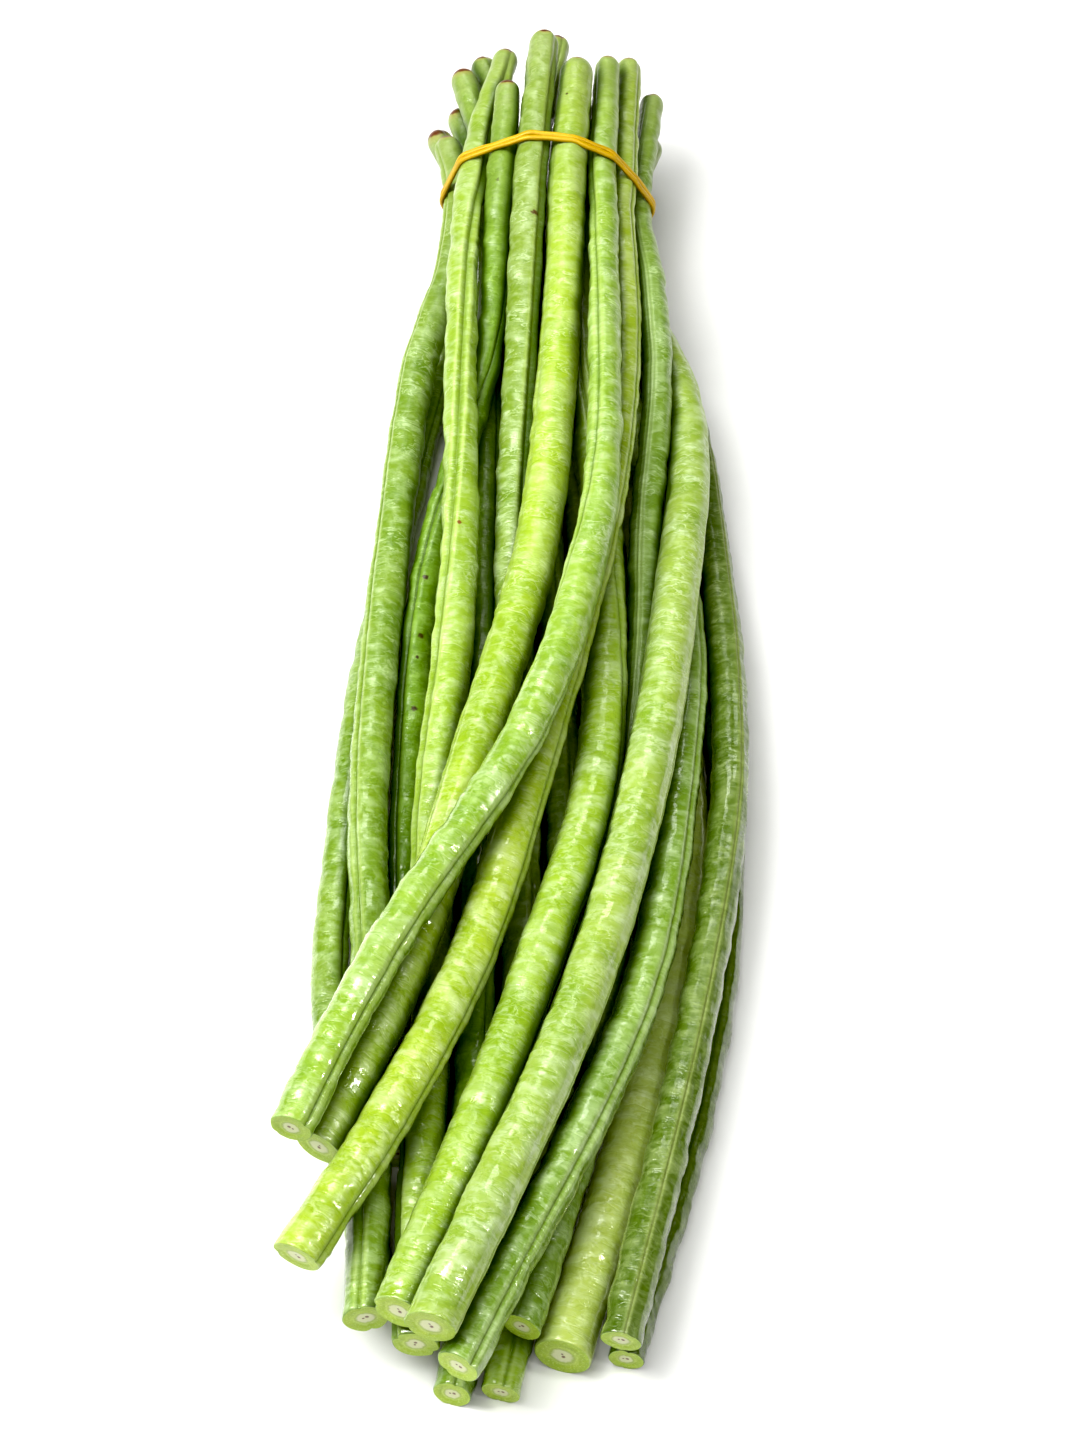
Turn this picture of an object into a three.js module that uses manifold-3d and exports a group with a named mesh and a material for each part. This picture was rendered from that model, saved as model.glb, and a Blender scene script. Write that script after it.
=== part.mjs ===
// Yardlong bean bunch: twenty-two long pods lying on a table, tied near their tips by one rubber band.
// Millimetres. +Z is up, +Y points to the rounded tips and the cut ends are at -Y.
// The origin is on the table, under the middle of the bunch.
//
// Each pod has a curve of its own, given by where it runs across the bunch. The pods are stiff and heavy,
// so they are laid one over another by hand and then settled: they sink until they rest on the table, on
// each other and in the band.
import * as THREE from "three";
import { mergeVertices } from "three/addons/utils/BufferGeometryUtils.js";
import Module from "manifold-3d";

// ---- driving dimensions ----
const GREEN = { BRIGHT: 0xa3cf52, MID: 0x82b344, DEEP: 0x5d9233, PALE: 0xaccb7d };
const BAND_COLOUR = 0xe8a417;
const PODS = podList();
const STATIONS = [-48, 0, 60, 120, 180, 240, 330]; // where each pod's course is given, below the tie
const HEIGHT_STATIONS = [-48, 0, 70, 150, 330];
const STEP = 6; // spacing of the slices in which the pods are settled
const FIRST = -54; // first slice, past the furthest tip
const LAST = 342; // last slice, past the furthest cut end
const POD_GAP = 0.42; // air left between neighbours
const PRESSED = 0.15; // how deep a resting pod is pressed flat by the table

const TIP_SHARE = 0.9; // thickness at the tip, as a share of the neck's
const FULL_AT = 190; // distance below the tie at which a pod is full
const SIDES = 8;
const RING_STEP = 14;
const DOME = [0.1, 0.4, 1]; // rings of the rounded tip, as shares of its length
const DOME_LENGTH = 1.15; // length of the rounded tip, in radii
const CUT_RIM = 0.6; // rounding of the cut end's rim

const BAND_WIDTH = 2.6; // two turns side by side
const BAND_THICK = 1.2;
const BAND_GAP = 0.35;
const BAND_POINTS = 56;

// ---- settling ----
const SINK = 0.05; // how far a pod's own weight moves it in a pass
const STIFF = 50; // resistance to bending, against the weight above
const SETTLE_PASSES = 1500;
const CLEAR_STIFF = 6;
const CLEAR_PASSES = 900;
const HOLD = 0.02; // pull back to its own course
const TIE_CENTRE = [0.2, 23.2]; // middle of the bundle inside the band, across and up
const TIE_HALF = [24.4, 21.6]; // half of the bundle's breadth and of its height there
const TIE_REACH = 13; // how far to either side the band holds the bundle in shape
const GRIP = 0.35; // pull of the band towards the place where each pod was gathered

// Name, green, thickness of the body and of the neck in the tie, reach past the tie, length below it,
// course across the bunch at STATIONS, and height of the centreline at HEIGHT_STATIONS before settling.
// The first eighteen are seen from above, from the left of the bunch to its right. The rest fill its inside.
function podList() {
  const pod = (name, green, thick, neck, tip, cut, across, up) => {
    return { name, green, thick, neck, tip, cut, across, up };
  };
  return [
    pod("bean_01", GREEN.MID, 9.2, 8.2, 20, 316, [-60, -26, -26, -26, -27, -21, -14], [30, 23, 18, 16, 13]),
    pod("bean_02", GREEN.MID, 8.6, 7.6, 37, 305, [-42, -17, -24, -29, -31, -28, -2], [30, 11, 6, 5, 5]),
    pod("bean_03", GREEN.BRIGHT, 9.6, 7.4, 43, 320, [-12, -17, -13, -8, -5, -1, -1], [38, 35, 32, 26, 6]),
    pod("bean_04", GREEN.DEEP, 8.8, 7.2, 24, 272, [-6, -9, -11, -21, -17, -9, -6], [34, 38, 24, 10, 5]),
    pod("bean_05", GREEN.DEEP, 8.8, 7.8, 41, 286, [-28, -12, -10, -7, -3, 4, 7], [28, 28, 18, 12, 12]),
    pod("bean_06", GREEN.BRIGHT, 9.2, 8.2, 39, 248, [-3, -3, -1, 0, 4, 11, 14], [36, 40, 34, 18, 12]),
    pod("bean_07", GREEN.BRIGHT, 10.6, 9.4, 33, 281, [6, 6, 7, 5, -4, -11, -28], [40, 40, 38, 36, 20]),
    pod("bean_08", GREEN.MID, 9.4, 7.2, 42, 282, [10, 12, 17, 20, 9, -17, -46], [42, 37, 40, 42, 30]),
    pod("bean_09", GREEN.BRIGHT, 10.4, 7.2, 50, 308, [17, 20, 25, 22, 11, -3, -43], [38, 31, 32, 30, 24]),
    pod("bean_10", GREEN.PALE, 8.6, 7.0, 44, 315, [27, 25, 30, 24, 23, 24, 15], [26, 22, 24, 17, 8]),
    pod("bean_11", GREEN.BRIGHT, 10.2, 8.2, 30, 318, [10, 10, 16, 28, 29, 15, -9], [30, 28, 25, 22, 12]),
    pod("bean_12", GREEN.PALE, 10.6, 8.8, 30, 325, [14, 13, 36, 37, 34, 24, -5], [22, 22, 14, 28, 28]),
    pod("bean_13", GREEN.BRIGHT, 8.8, 7.6, 34, 317, [26, 20, 38, 45, 50, 46, 34], [18, 14, 18, 16, 14]),
    pod("bean_14", GREEN.DEEP, 9.4, 8.0, 30, 329, [12, 11, 26, 38, 39, 34, 4], [18, 16, 14, 14, 12]),
    pod("bean_15", GREEN.PALE, 11.8, 8.8, 36, 317, [20, 9, 20, 31, 38, 34, 12], [10, 6, 6, 6, 6]),
    pod("bean_16", GREEN.MID, 8.2, 7.6, 34, 316, [24, 16, 28, 41, 47, 47, 34], [12, 9, 5, 5, 5]),
    pod("bean_17", GREEN.MID, 8.6, 8.0, 28, 325, [5, 4, 12, 22, 25, 20, 6], [14, 13, 6, 5, 5]),
    pod("bean_18", GREEN.DEEP, 8.6, 8.0, 30, 326, [-2, -2, 4, 13, 16, 12, 6], [6, 6, 5, 5, 5]),
    pod("bean_19", GREEN.MID, 9.0, 7.4, 51, 262, [1, -4, -2, 6, 12, 17, 20], [36, 30, 22, 14, 12]),
    pod("bean_20", GREEN.DEEP, 8.6, 8.0, 35, 298, [-36, -13, -10, -9, -7, -5, -4], [29, 20, 8, 5, 5]),
    pod("bean_21", GREEN.MID, 9.2, 8.4, 30, 232, [3, 4, 12, 22, 28, 26, 26], [22, 21, 14, 5, 5]),
    pod("bean_22", GREEN.DEEP, 8.8, 7.8, 49, 240, [-20, -5, -6, 1, 5, 5, 5], [34, 21, 10, 5, 5]),
  ];
}

// A smooth curve through values given at places, as a function of the place.
function courseOf(places, values) {
  const spline = new THREE.CubicInterpolant(places, values, 1, new Float32Array(1));
  return (place) => spline.evaluate(THREE.MathUtils.clamp(place, places[0], places.at(-1)))[0];
}

// Radius of a pod's full section at a distance below the tie: it swells from the tip to the middle.
function radiusAt(pod, along) {
  const toNeck = THREE.MathUtils.clamp((along + pod.tip) / pod.tip, 0, 1);
  const toFull = THREE.MathUtils.smoothstep(along, -20, FULL_AT);
  const neck = pod.neck * THREE.MathUtils.lerp(TIP_SHARE, 1, toNeck);
  return THREE.MathUtils.lerp(neck, pod.thick, toFull) / 2;
}

// Factors of the system (1 + stiff * bending) for a rod of count slices, and a solver for it.
// Bending is the sum of squared second differences, so the matrix has five diagonals.
function stiffRod(count, stiff) {
  const main = new Float64Array(count).fill(1);
  const next = new Float64Array(count);
  const after = new Float64Array(count);
  for (let k = 1; k < count - 1; k++) {
    main[k - 1] += stiff;
    main[k] += 4 * stiff;
    main[k + 1] += stiff;
    next[k - 1] -= 2 * stiff;
    next[k] -= 2 * stiff;
    after[k - 1] += stiff;
  }
  const diagonal = new Float64Array(count);
  const lower1 = new Float64Array(count);
  const lower2 = new Float64Array(count);
  for (let k = 0; k < count; k++) {
    const back1 = k > 0 ? lower1[k - 1] : 0;
    const back2 = k > 1 ? lower2[k - 2] : 0;
    diagonal[k] = main[k];
    if (k > 0) diagonal[k] -= back1 * back1 * diagonal[k - 1];
    if (k > 1) diagonal[k] -= back2 * back2 * diagonal[k - 2];
    const cross = k > 0 ? lower2[k - 1] * back1 * diagonal[k - 1] : 0;
    lower1[k] = (next[k] - cross) / diagonal[k];
    lower2[k] = after[k] / diagonal[k];
  }
  return (values) => {
    for (let k = 0; k < count; k++) {
      if (k > 0) values[k] -= lower1[k - 1] * values[k - 1];
      if (k > 1) values[k] -= lower2[k - 2] * values[k - 2];
    }
    for (let k = count - 1; k >= 0; k--) {
      values[k] /= diagonal[k];
      if (k + 1 < count) values[k] -= lower1[k] * values[k + 1];
      if (k + 2 < count) values[k] -= lower2[k] * values[k + 2];
    }
  };
}

// Lays each pod on its course, as points across (x) and up (z) in every slice that it crosses.
function layOut(pods) {
  for (const pod of pods) {
    const across = courseOf(STATIONS, pod.across);
    const up = courseOf(HEIGHT_STATIONS, pod.up);
    pod.start = Math.floor((-pod.tip - FIRST) / STEP);
    pod.count = Math.ceil((pod.cut - FIRST) / STEP) - pod.start + 1;
    pod.along = Array.from({ length: pod.count }, (_, k) => FIRST + (pod.start + k) * STEP);
    pod.radius = pod.along.map((along) => radiusAt(pod, along));
    pod.x = Float64Array.from(pod.along, across);
    pod.z = Float64Array.from(pod.along, up);
    pod.gathered = { x: pod.across[1], z: pod.up[1] };
    pod.ownX = Float64Array.from(pod.x);
    pod.ownZ = new Float64Array(pod.count);
  }
}

// Slope of a pod in a slice, across and up, for each millimetre along the bunch.
function slopeOf(pod, k) {
  const a = Math.max(0, k - 1);
  const b = Math.min(pod.count - 1, k + 1);
  return [(pod.x[b] - pod.x[a]) / ((b - a) * STEP), (pod.z[b] - pod.z[a]) / ((b - a) * STEP)];
}

// Pushes two pods apart in a slice, at right angles to the way that they run.
function separate(one, two, slice) {
  const i = slice - one.start;
  const j = slice - two.start;
  if (i < 0 || j < 0 || i >= one.count || j >= two.count) return;
  const dx = two.x[j] - one.x[i];
  const dz = two.z[j] - one.z[i];
  const reach = one.radius[i] + two.radius[j] + POD_GAP;
  if (dx * dx + dz * dz > 1.5 * reach * reach) return;
  const [ax, az] = slopeOf(one, i);
  const [bx, bz] = slopeOf(two, j);
  const run = new THREE.Vector3((ax + bx) / 2, 1, (az + bz) / 2).normalize();
  const apart = new THREE.Vector3(dx, 0, dz);
  apart.addScaledVector(run, -apart.dot(run));
  const distance = apart.length();
  if (distance >= reach || distance < 1e-6) return;
  const push = (reach - distance) / 2 / distance;
  one.x[i] -= apart.x * push;
  one.z[i] -= apart.z * push;
  two.x[j] += apart.x * push;
  two.z[j] += apart.z * push;
}

// Keeps a pod on the table, and the band's thickness above it at the tie.
// A pod's flat lowest side is nearer to its centreline than its corners.
function keepUp(pod) {
  const apothem = Math.cos(Math.PI / SIDES);
  pod.along.forEach((along, k) => {
    const onTable = pod.radius[k] * apothem - PRESSED;
    const onBand = pod.radius[k] + BAND_GAP + BAND_THICK;
    const nearTie = THREE.MathUtils.clamp(1.5 - Math.abs(along) / (2 * STEP), 0, 1);
    const lowest = THREE.MathUtils.lerp(onTable, onBand, nearTie);
    if (pod.z[k] < lowest) pod.z[k] = lowest;
  });
}

function settle(pods) {
  const run = (passes, weight, stiff) => {
    const rods = pods.map((pod) => stiffRod(pod.count, stiff));
    for (let pass = 0; pass < passes; pass++) {
      pods.forEach((pod, p) => {
        for (let k = 0; k < pod.count; k++) {
          pod.x[k] = (pod.x[k] - pod.ownX[k]) * (1 - HOLD * Math.sign(weight));
          pod.z[k] -= weight + pod.ownZ[k];
        }
        rods[p](pod.x);
        rods[p](pod.z);
        for (let k = 0; k < pod.count; k++) {
          pod.x[k] += pod.ownX[k];
          pod.z[k] += pod.ownZ[k];
        }
      });
      for (let i = 0; i < pods.length; i++)
        for (let j = i + 1; j < pods.length; j++)
          for (let slice = 0; slice * STEP <= LAST - FIRST; slice++) separate(pods[i], pods[j], slice);
      if (weight > 0) pods.forEach(keepInBand);
      pods.forEach(keepUp);
    }
  };
  run(SETTLE_PASSES, SINK, STIFF);
  for (const pod of pods) {
    pod.ownX.set(pod.x);
    pod.ownZ.set(pod.z);
  }
  run(CLEAR_PASSES, 0, CLEAR_STIFF);
}

// The tight band keeps the bundle to a rounded shape, and each pod where it was gathered.
function keepInBand(pod) {
  pod.along.forEach((along, k) => {
    if (Math.abs(along) > TIE_REACH) return;
    pod.x[k] += (pod.gathered.x - pod.x[k]) * GRIP;
    pod.z[k] += (pod.gathered.z - pod.z[k]) * GRIP;
    const dx = pod.x[k] - TIE_CENTRE[0];
    const dz = pod.z[k] - TIE_CENTRE[1];
    const out = Math.hypot(dx / (TIE_HALF[0] - pod.radius[k]), dz / (TIE_HALF[1] - pod.radius[k]));
    if (out <= 1) return;
    pod.x[k] = TIE_CENTRE[0] + dx / out;
    pod.z[k] = TIE_CENTRE[1] + dz / out;
  });
}

// A settled pod's centreline from tip to cut end, as a curve in the part's frame before centring.
function centreline(pod) {
  const across = courseOf(pod.along, Array.from(pod.x));
  const up = courseOf(pod.along, Array.from(pod.z));
  return (along) => new THREE.Vector3(across(along), -along, up(along));
}

// A pod's solid: a domed tip, a tapered round body and a flat cut end.
function podGeometry(pod) {
  const line = centreline(pod);
  const length = pod.tip + pod.cut;
  const dome = DOME_LENGTH * radiusAt(pod, -pod.tip);
  const body = Math.round((length - dome - CUT_RIM) / RING_STEP);
  const rings = DOME.map((share) => [dome * share, Math.sqrt(1 - (1 - share) ** 2)]);
  for (let k = 1; k <= body; k++) rings.push([dome + ((length - dome - CUT_RIM) * k) / body, 1]);
  rings.push([length, 1 - (0.5 * CUT_RIM) / radiusAt(pod, pod.cut)]);

  const points = [line(-pod.tip)];
  const frame = { side: new THREE.Vector3(), down: new THREE.Vector3(), run: new THREE.Vector3() };
  for (const [distance, share] of rings) {
    const along = -pod.tip + distance;
    const centre = line(along);
    frame.run.subVectors(line(along + 1), line(along - 1)).normalize();
    frame.side.crossVectors(frame.run, new THREE.Vector3(0, 0, 1)).normalize();
    frame.down.crossVectors(frame.run, frame.side).normalize();
    const radius = radiusAt(pod, along) * share;
    for (let k = 0; k < SIDES; k++) {
      const turn = ((k + 0.5) / SIDES) * 2 * Math.PI;
      points.push(
        centre
          .clone()
          .addScaledVector(frame.side, Math.cos(turn) * radius)
          .addScaledVector(frame.down, Math.sin(turn) * radius),
      );
    }
  }
  points.push(line(pod.cut));

  const faces = [];
  const at = (ring, k) => 1 + ring * SIDES + (k % SIDES);
  for (let k = 0; k < SIDES; k++) {
    faces.push(0, at(0, k + 1), at(0, k));
    for (let ring = 0; ring + 1 < rings.length; ring++) {
      faces.push(at(ring, k), at(ring + 1, k + 1), at(ring + 1, k));
      faces.push(at(ring, k), at(ring, k + 1), at(ring + 1, k + 1));
    }
    faces.push(points.length - 1, at(rings.length - 1, k), at(rings.length - 1, k + 1));
  }
  return meshOf(points, faces);
}

function meshOf(points, faces) {
  const geometry = new THREE.BufferGeometry().setFromPoints(points);
  geometry.setIndex(faces);
  return geometry;
}

// The band's inner line: the tight loop round all the pods in the tie, as points across and up.
function loopRound(pods) {
  const circles = [];
  for (const pod of pods) {
    const line = centreline(pod);
    for (const edge of [-BAND_WIDTH / 2, BAND_WIDTH / 2]) {
      const { x, z } = line(edge);
      circles.push({ x, z, r: radiusAt(pod, edge) + BAND_GAP });
    }
  }
  return Array.from({ length: BAND_POINTS }, (_, k) => {
    const turn = (k / BAND_POINTS) * 2 * Math.PI;
    const [nx, nz] = [Math.cos(turn), Math.sin(turn)];
    const reach = (c) => c.x * nx + c.z * nz + c.r;
    const outermost = circles.reduce((best, c) => (reach(c) > reach(best) ? c : best));
    return { x: outermost.x + outermost.r * nx, z: outermost.z + outermost.r * nz, nx, nz };
  });
}

function bandGeometry(pods) {
  const loop = loopRound(pods);
  const section = [
    [0, -BAND_WIDTH / 2],
    [0, BAND_WIDTH / 2],
    [BAND_THICK, BAND_WIDTH / 2],
    [BAND_THICK, -BAND_WIDTH / 2],
  ];
  const points = [];
  for (const { x, z, nx, nz } of loop)
    for (const [out, y] of section) points.push(new THREE.Vector3(x + nx * out, y, z + nz * out));
  const faces = [];
  const at = (k, corner) => (k % loop.length) * section.length + (corner % section.length);
  for (let k = 0; k < loop.length; k++)
    for (let corner = 0; corner < section.length; corner++) {
      faces.push(at(k, corner), at(k + 1, corner + 1), at(k, corner + 1));
      faces.push(at(k, corner), at(k + 1, corner), at(k + 1, corner + 1));
    }
  return meshOf(points, faces);
}

// Cuts away what lies below the table, which leaves the flats that the bunch rests on.
const wasm = await Module();
wasm.setup();

function solidOf(geometry) {
  const bare = geometry.clone();
  bare.deleteAttribute("normal");
  bare.deleteAttribute("uv");
  const merged = mergeVertices(bare);
  return new wasm.Manifold(
    new wasm.Mesh({
      numProp: 3,
      vertProperties: merged.attributes.position.array,
      triVerts: new Uint32Array(merged.index.array),
    }),
  );
}

function restOnTable(geometry) {
  geometry.computeBoundingBox();
  if (geometry.boundingBox.min.z > 0) return geometry;
  const depth = 10;
  const table = new THREE.BoxGeometry(1000, 1000, depth).translate(0, 0, -depth / 2);
  const mesh = solidOf(geometry).subtract(solidOf(table)).getMesh();
  const cut = new THREE.BufferGeometry();
  cut.setAttribute("position", new THREE.BufferAttribute(mesh.vertProperties, 3));
  cut.setIndex(new THREE.BufferAttribute(mesh.triVerts, 1));
  return cut;
}

layOut(PODS);
settle(PODS);

const bunch = new THREE.Group();
for (const pod of PODS) {
  const skin = new THREE.MeshStandardMaterial({ color: pod.green, roughness: 0.45, metalness: 0 });
  const mesh = new THREE.Mesh(restOnTable(podGeometry(pod)), skin);
  mesh.name = pod.name;
  bunch.add(mesh);
}
const rubber = new THREE.MeshStandardMaterial({ color: BAND_COLOUR, roughness: 0.5, metalness: 0 });
const band = new THREE.Mesh(bandGeometry(PODS), rubber);
band.name = "rubber_band";
bunch.add(band);

const box = new THREE.Box3().setFromObject(bunch);
const centre = box.getCenter(new THREE.Vector3());
for (const mesh of bunch.children) mesh.position.set(-centre.x, -centre.y, 0);

export default bunch;
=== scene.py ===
"""Yardlong bean bunch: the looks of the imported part, in metres.

Every pod is rebuilt as one fine rolled sheet along the line of its solid, with its two seams, its
wrinkled and gently swollen skin, a rounded tip and a cut end. The rubber band is two wound strands.
"""

import logging
import math
from dataclasses import dataclass, field, replace
from enum import Enum
from typing import Callable, Sequence, Union

import bmesh
import bpy
import numpy as np
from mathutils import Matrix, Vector


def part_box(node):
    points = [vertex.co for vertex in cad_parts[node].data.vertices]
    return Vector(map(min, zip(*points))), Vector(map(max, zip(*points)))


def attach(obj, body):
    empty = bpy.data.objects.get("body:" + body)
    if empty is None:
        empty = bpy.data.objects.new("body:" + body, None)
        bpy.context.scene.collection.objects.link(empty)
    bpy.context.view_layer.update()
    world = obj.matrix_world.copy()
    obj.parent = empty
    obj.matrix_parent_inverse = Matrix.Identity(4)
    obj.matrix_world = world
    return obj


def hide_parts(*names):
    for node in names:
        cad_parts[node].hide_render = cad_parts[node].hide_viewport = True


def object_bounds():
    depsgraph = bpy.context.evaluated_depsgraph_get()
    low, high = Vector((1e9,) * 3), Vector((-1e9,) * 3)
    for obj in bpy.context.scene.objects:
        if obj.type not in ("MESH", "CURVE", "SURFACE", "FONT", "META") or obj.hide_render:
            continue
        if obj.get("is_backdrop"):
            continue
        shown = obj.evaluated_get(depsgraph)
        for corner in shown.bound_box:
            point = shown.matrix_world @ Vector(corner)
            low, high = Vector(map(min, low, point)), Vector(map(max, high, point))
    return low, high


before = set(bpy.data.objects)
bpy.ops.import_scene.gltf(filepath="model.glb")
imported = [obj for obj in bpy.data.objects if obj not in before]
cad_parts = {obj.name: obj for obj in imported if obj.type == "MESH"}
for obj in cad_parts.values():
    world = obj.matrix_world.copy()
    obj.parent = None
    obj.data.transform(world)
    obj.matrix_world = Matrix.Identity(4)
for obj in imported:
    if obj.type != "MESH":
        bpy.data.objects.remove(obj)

LOG = logging.getLogger("bean_bunch")
MM = 0.001
TURN = 2 * math.pi
Array = np.ndarray
Socket = bpy.types.NodeSocket
Input = Union[Socket, float, Sequence[float]]


# ---- small helpers ----


def from_hex(code: str) -> tuple[float, float, float, float]:
    """Turns a screen colour into the linear colour that the shaders take.

    Args:
        code: the colour as six hexadecimal digits.

    Returns:
        Red, green, blue and alpha between 0 and 1.
    """
    shares = [int(code[k : k + 2], 16) / 255 for k in (0, 2, 4)]
    linear = [c / 12.92 if c <= 0.04045 else ((c + 0.055) / 1.055) ** 2.4 for c in shares]
    return (*linear, 1.0)


def rise(low: float, high: float, value: Array) -> Array:
    """Rises smoothly from 0 at low to 1 at high. High may be the lower of the two."""
    share = np.clip((value - low) / (high - low), 0, 1)
    return share * share * (3 - 2 * share)


def hump(value: Array, width: float) -> Array:
    """A rounded hump, 1 where the value is 0 and nearly 0 past twice the width."""
    return np.exp(-((value / width) ** 2))


def wrapped(angle: Array) -> Array:
    """Brings an angle into the range from -pi to pi."""
    return (angle + math.pi) % TURN - math.pi


def unit(rows: Array) -> Array:
    """Scales each row to a length of 1."""
    return rows / np.linalg.norm(rows, axis=-1, keepdims=True)


@dataclass(frozen=True)
class Layer:
    """One pattern of a pod's grain."""

    strength: float
    around: int  # patches round the pod
    length: float  # length of a patch along the pod, in millimetres
    pick: int  # which of many unrelated patterns


@dataclass(frozen=True)
class Grain:
    """Smooth irregular values over a pod's skin, the same in every run."""

    seed: int

    def at(self, turn: Array, along: Array, layer: Layer) -> Array:
        """Values of both signs, up to the layer's strength, that close up round the pod.

        Args:
            turn: angle round the pod, in radians.
            along: distance along the pod, in millimetres.
            layer: the pattern.

        Returns:
            One value for each place.
        """
        around, pick = layer.around, layer.pick
        across = (turn / TURN) % 1.0 * around
        down = along / layer.length + 1000.0
        i, j = np.floor(across).astype(np.int64), np.floor(down).astype(np.int64)
        fx, fy = across - i, down - j
        fx, fy = fx * fx * (3 - 2 * fx), fy * fy * (3 - 2 * fy)
        i, after = i % around, (i + 1) % around
        top = self._lot(i, j, pick) * (1 - fx) + self._lot(after, j, pick) * fx
        low = self._lot(i, j + 1, pick) * (1 - fx) + self._lot(after, j + 1, pick) * fx
        return layer.strength * (top * (1 - fy) + low * fy)

    def _lot(self, i: Array, j: Array, pick: int) -> Array:
        """Draws a fixed value between -1 and 1 for each whole place.

        Args:
            i: place round the pod.
            j: place along the pod.
            pick: picks the pattern.

        Returns:
            One value for each place.
        """
        mask = np.int64(0x7FFFFFFF)
        lot = (i * 73856093 + j * 19349663 + (self.seed * 977 + pick) * 83492791) & mask
        lot = ((lot ^ (lot >> 13)) * 1274126177) & mask
        lot = ((lot ^ (lot >> 15)) * 668265263) & mask
        return ((lot ^ (lot >> 14)) % 65521) / 32760.0 - 1.0


def smooth_line(places: Array, values: Array) -> Callable[[Array], Array]:
    """A natural cubic spline.

    Args:
        places: rising places of the known values.
        values: the known values, one row for each place.

    Returns:
        A function that gives the value at any places.
    """
    count, gap = len(places), np.diff(places)
    system, wanted = np.eye(count), np.zeros_like(values)
    slopes = np.diff(values, axis=0) / gap[:, None]
    for k in range(1, count - 1):
        system[k, k - 1 : k + 2] = gap[k - 1], 2 * (gap[k - 1] + gap[k]), gap[k]
        wanted[k] = 6 * (slopes[k] - slopes[k - 1])
    bend = np.linalg.solve(system, wanted)

    def lookup(where: Array) -> Array:
        """Gives the spline's values at some places.

        Args:
            where: the places.

        Returns:
            The values, one row for each place.
        """
        k = np.clip(np.searchsorted(places, where, side="right") - 1, 0, count - 2)
        near, far = (where - places[k])[:, None], (places[k + 1] - where)[:, None]
        step = gap[k][:, None]
        curve = (bend[k] * far**3 + bend[k + 1] * near**3) / (6 * step)
        from_before = (values[k] / step - bend[k] * step / 6) * far
        return curve + from_before + (values[k + 1] / step - bend[k + 1] * step / 6) * near

    return lookup


def linked(name: str, data: bpy.types.ID) -> bpy.types.Object:
    """Makes an object from its data and links it to the scene.

    Args:
        name: the object's name.
        data: its mesh, light or camera.

    Returns:
        The object.
    """
    thing = bpy.data.objects.new(name, data)
    bpy.context.scene.collection.objects.link(thing)
    return thing


def rolled_sheet(
    name: str, rows: int, columns: int, places: Array, facts: dict[str, Array]
) -> bpy.types.Object:
    """Rolls a flat grid into a closed body and welds it along its seam and at its poles.

    Args:
        name: the piece's name.
        rows: rows of the grid.
        columns: columns of the grid, the last of which meets the first.
        places: where each of the grid's points goes, row by row, in metres.
        facts: values that the finish reads, one for each point.

    Returns:
        The piece, linked to the scene.
    """
    mesh = bpy.data.meshes.new(name)
    grid = bmesh.new()
    bmesh.ops.create_grid(grid, x_segments=columns - 1, y_segments=rows - 1, size=1.0)
    grid.to_mesh(mesh)
    grid.free()
    mesh.vertices.foreach_set("co", places.astype(np.float32).ravel())
    for key, values in facts.items():
        kind, part = ("FLOAT_VECTOR", "vector") if values.ndim == 2 else ("FLOAT", "value")
        layer = mesh.attributes.new(key, kind, "POINT")
        layer.data.foreach_set(part, values.astype(np.float32).ravel())
    body = bmesh.new()
    body.from_mesh(mesh)
    bmesh.ops.remove_doubles(body, verts=body.verts, dist=2e-6)
    bmesh.ops.recalc_face_normals(body, faces=body.faces)
    for face in body.faces:
        face.smooth = True
    body.to_mesh(mesh)
    body.free()
    return linked(name, mesh)


# ---- finishes ----


@dataclass(frozen=True)
class Cloud:
    """A cloudy pattern, given by how often it repeats in a millimetre and how it is broken up."""

    repeats: tuple[float, float, float]  # across, along and up on the straightened piece
    shift: float  # sets it apart from the other patterns
    detail: float = 3.0  # how many finer layers are added
    rough: float = 0.55  # strength of the finer layers
    twist: float = 0.0  # how far the pattern is drawn about


PATCHES = Cloud((0.10, 0.035, 0.10), 3.1)
MOTTLES = Cloud((0.28, 0.52, 0.28), 7.7, 4, 0.58, 1.1)
HAIRS = Cloud((0.6, 2.6, 0.6), 5.9, 3, 0.6, 0.6)
CREASES = Cloud((0.24, 0.62, 0.24), 1.3, 2, 0.45, 0.9)
CREASED_AREAS = Cloud((0.12, 0.16, 0.12), 6.1, 2)
RAGGED = Cloud((1.4, 1.4, 1.4), 4.2)
DAMP = Cloud((0.2, 0.09, 0.2), 8.8)
GREYING = Cloud((0.5, 0.35, 0.5), 6.6, 4)
FLESH_CLOUDS = Cloud((0.5, 0.5, 0.5), 2.0, 4)
FLESH_FIBRES = Cloud((2.6, 2.6, 2.6), 5.0, 4)
RUBBER_GRAIN = Cloud((2.2, 0.12, 2.2), 1.0, 4)
RUBBER_DUST = Cloud((3.0, 1.4, 3.0), 4.0, 4)
PAPER_GRAIN = Cloud((90, 90, 90), 0.0, 4)


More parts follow.
